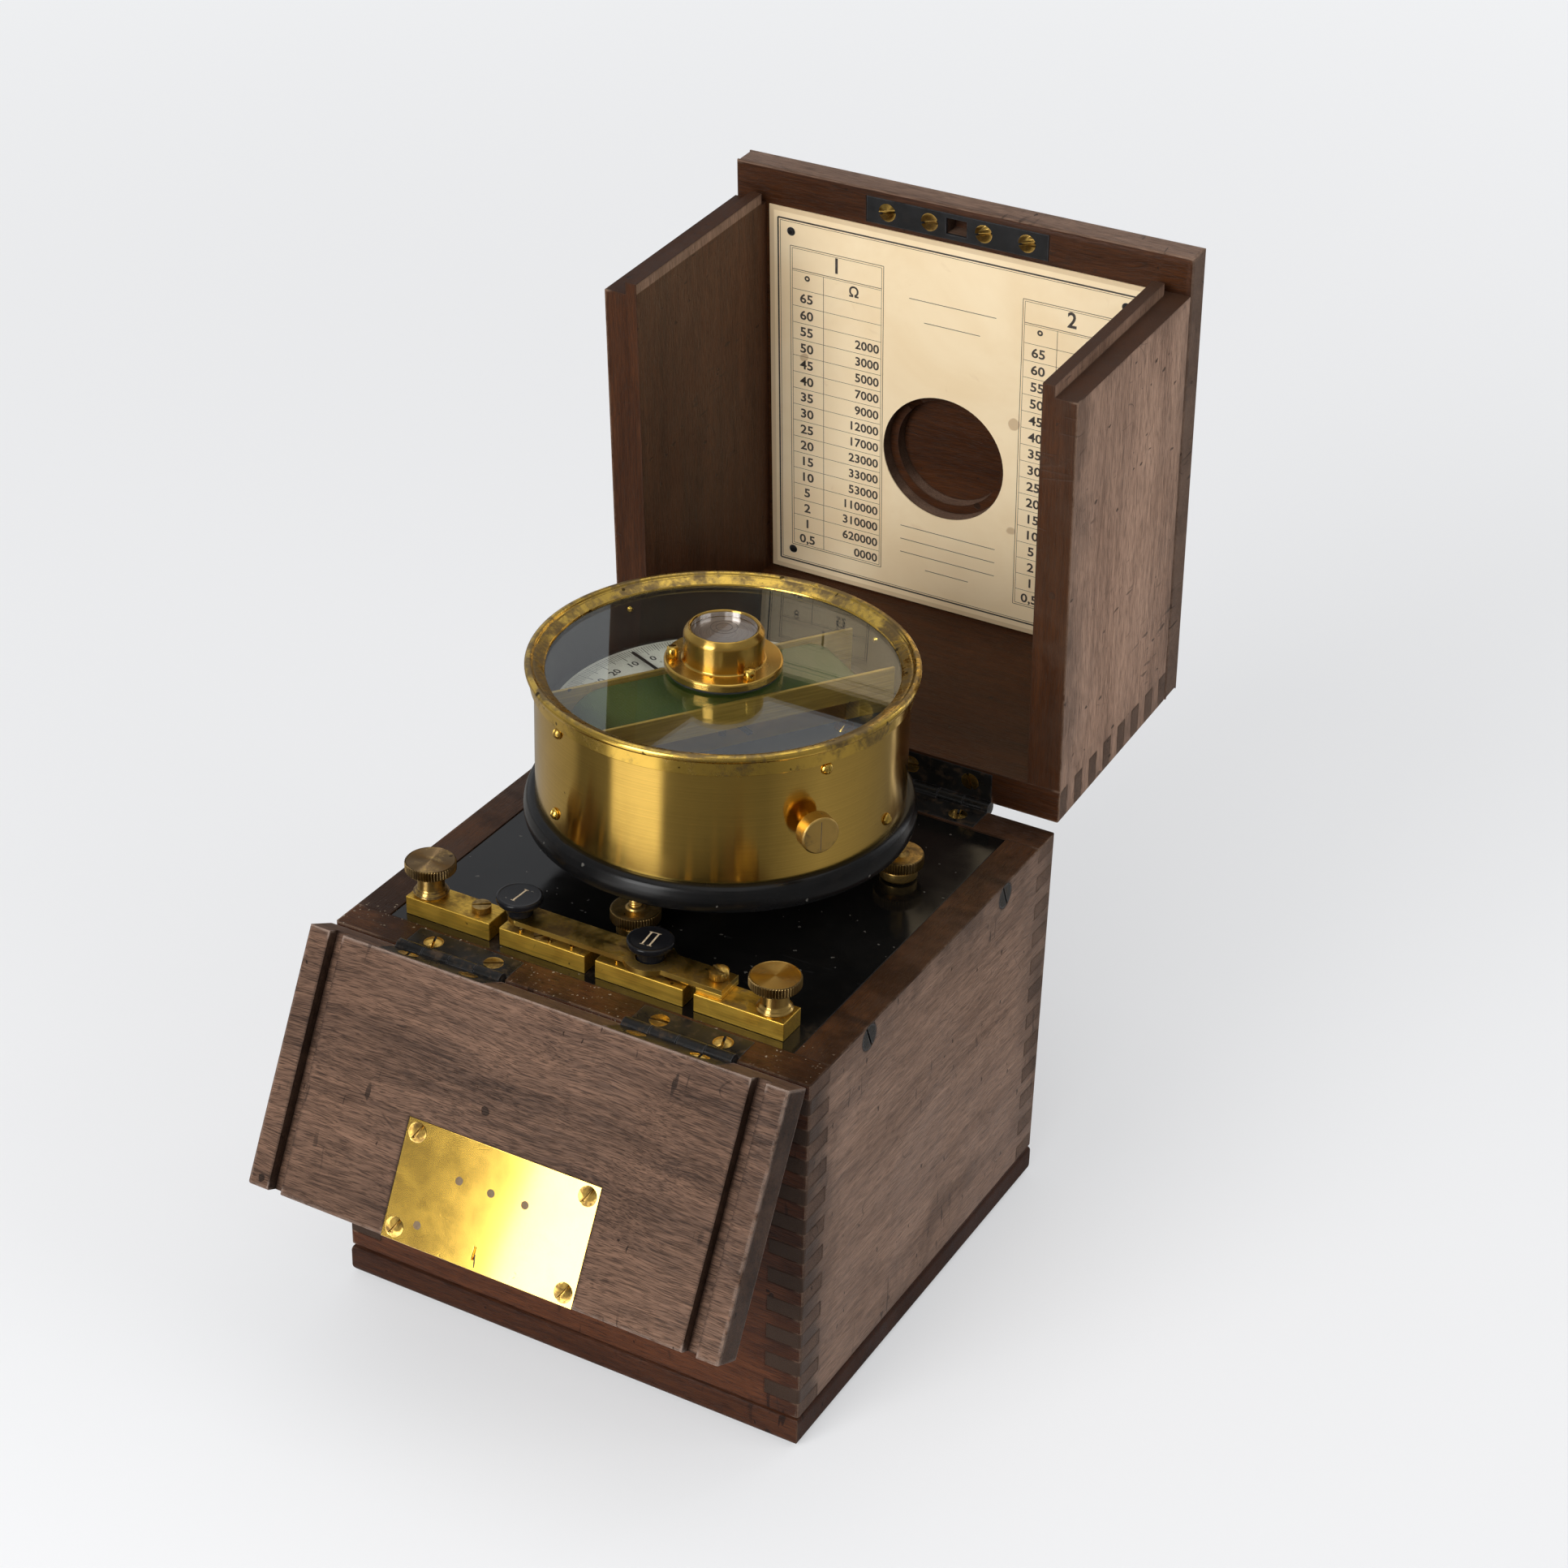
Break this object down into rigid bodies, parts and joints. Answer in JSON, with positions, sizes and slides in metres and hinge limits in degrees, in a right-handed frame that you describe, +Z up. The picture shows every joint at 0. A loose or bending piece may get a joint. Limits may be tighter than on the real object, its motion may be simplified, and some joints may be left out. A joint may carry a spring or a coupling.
{
  "type": "insulation tester",
  "caption": "Boxed insulation tester: needle galvanometer under glass with a spirit level, press keys and terminals on an ebonite panel, hinged lid and front flap.",
  "frame": {"origin": "middle of the case's underside", "axes": "+Z up, +Y to the back (the lid's hinges), +X to the right seen from the front"},
  "size_m": [0.16, 0.3, 0.2972],
  "materials": {
    "case_wood": "satin",
    "lid_wood": "satin",
    "flap_wood": "matte",
    "ebonite": "gloss",
    "brass": "satin",
    "dark_brass": "tarnished",
    "black_iron": "blackened",
    "steel": "brushed",
    "silvered": "matte silvered",
    "glass": "polished",
    "silk": "silk covered",
    "card": "aged"
  },
  "bodies": {
    "case": {"case_front": "case_wood", "case_back": "case_wood", "case_left": "case_wood", "case_right": "case_wood", "bottom_board": "case_wood", "panel": "ebonite", "panel_battens": "case_wood", "side_screws": "black_iron", "hinge_leaves_case": "black_iron", "hinge_screws_case": "brass", "block_a": "brass", "block_b": "brass", "block_c": "brass", "block_d": "brass", "row_screws": "brass", "contact_pins": "brass", "terminal_studs": "brass", "key_spacer": "brass", "galvo_base": "ebonite", "centre_bolt": "brass", "drum": "brass", "bezel": "dark_brass", "cover_glass": "glass", "galvo_screws": "brass", "inner_plate": "black_iron", "scale_plate": "silvered", "coil_former": "brass", "coil_winding": "silk", "pivot_post": "steel", "level_cup": "brass", "level_glass": "glass", "resistance_bobbins": "silk", "battery": "steel"},
    "lid": {"lid_board": "lid_wood", "lid_left": "lid_wood", "lid_right": "lid_wood", "lid_back": "lid_wood", "lid_screws": "brass", "strike_plate": "black_iron", "chart_card": "card", "card_nails": "black_iron", "hinge_leaves_lid": "black_iron"},
    "flap": {"flap_board": "flap_wood", "flap_screws": "brass", "lock": "brass", "hinge_leaves_flap": "black_iron"},
    "bolt": {"lock_bolt": "steel"},
    "key_1": {"lever_1": "dark_brass", "button_1": "ebonite"},
    "key_2": {"leaf_2": "brass", "button_2": "ebonite"},
    "left_washer": {"washer_left": "brass"},
    "left_nut": {"nut_left": "dark_brass"},
    "right_washer": {"washer_right": "brass"},
    "right_nut": {"nut_right": "dark_brass"},
    "front_foot": {"foot_front_screw": "dark_brass"},
    "right_foot": {"foot_right_screw": "dark_brass"},
    "left_foot": {"foot_left_screw": "dark_brass"},
    "arrest": {"arrest_knob": "dark_brass"},
    "needle": {"needle": "black_iron"}
  },
  "joints": [
    {"name": "lid_hinge", "type": "hinge", "parent": "case", "child": "lid", "pos_m": [0, 0.0811, 0.1312], "axis": [-1, 0, 0], "range_deg": [-86, 94]},
    {"name": "flap_hinge", "type": "hinge", "parent": "case", "child": "flap", "pos_m": [0, -0.0799, 0.1312], "axis": [1, 0, 0], "range_deg": [-152.8, 27.2]},
    {"name": "bolt_slide", "type": "slide", "parent": "flap", "child": "bolt", "axis": [0, -0.4571, -0.8894], "range_m": [0, 0.004]},
    {"name": "key_1_press", "type": "hinge", "parent": "case", "child": "key_1", "pos_m": [0.0338, -0.058, 0.1383], "axis": [0, -1, 0], "range_deg": [0, 0.7], "stiffness_Nm_per_rad": 3, "springref_deg": -0.17},
    {"name": "key_2_press", "type": "hinge", "parent": "case", "child": "key_2", "pos_m": [0.0338, -0.058, 0.1367], "axis": [0, -1, 0], "range_deg": [0, 1.75], "stiffness_Nm_per_rad": 0.5, "springref_deg": -0.23},
    {"name": "left_nut_rise", "type": "slide", "parent": "case", "child": "left_washer", "axis": [0, 0, 1], "range_m": [0, 0.0015]},
    {"name": "left_nut_turn", "type": "hinge", "parent": "left_washer", "child": "left_nut", "pos_m": [-0.0593, -0.059, 0.14], "axis": [0, 0, 1], "range_deg": [0, 721]},
    {"name": "right_nut_rise", "type": "slide", "parent": "case", "child": "right_washer", "axis": [0, 0, 1], "range_m": [0, 0.0015]},
    {"name": "right_nut_turn", "type": "hinge", "parent": "right_washer", "child": "right_nut", "pos_m": [0.0573, -0.059, 0.14], "axis": [0, 0, 1], "range_deg": [0, 721]},
    {"name": "front_foot_turn", "type": "hinge", "parent": "case", "child": "front_foot", "pos_m": [-0.00207, -0.03689, 0.135], "axis": [0, 0, 1], "continuous": true},
    {"name": "right_foot_turn", "type": "hinge", "parent": "case", "child": "right_foot", "pos_m": [0.04977, 0.03132, 0.135], "axis": [0, 0, 1], "continuous": true},
    {"name": "left_foot_turn", "type": "hinge", "parent": "case", "child": "left_foot", "pos_m": [-0.04777, 0.03132, 0.135], "axis": [0, 0, 1], "continuous": true},
    {"name": "arrest_turn", "type": "hinge", "parent": "case", "child": "arrest", "pos_m": [0.001, 0.007, 0.1774], "axis": [0.829, -0.5592, 0], "range_deg": [0, 90]},
    {"name": "needle_swing", "type": "hinge", "parent": "case", "child": "needle", "pos_m": [0.001, 0.007, 0.182], "axis": [0, 0, 1], "range_deg": [-68, 48], "stiffness_Nm_per_rad": 0.00005}
  ],
  "couplings": [
    {"joint": "left_nut_turn", "follows": "left_nut_rise", "rad_per_m": 8377.6},
    {"joint": "right_nut_turn", "follows": "right_nut_rise", "rad_per_m": 8377.6}
  ]
}
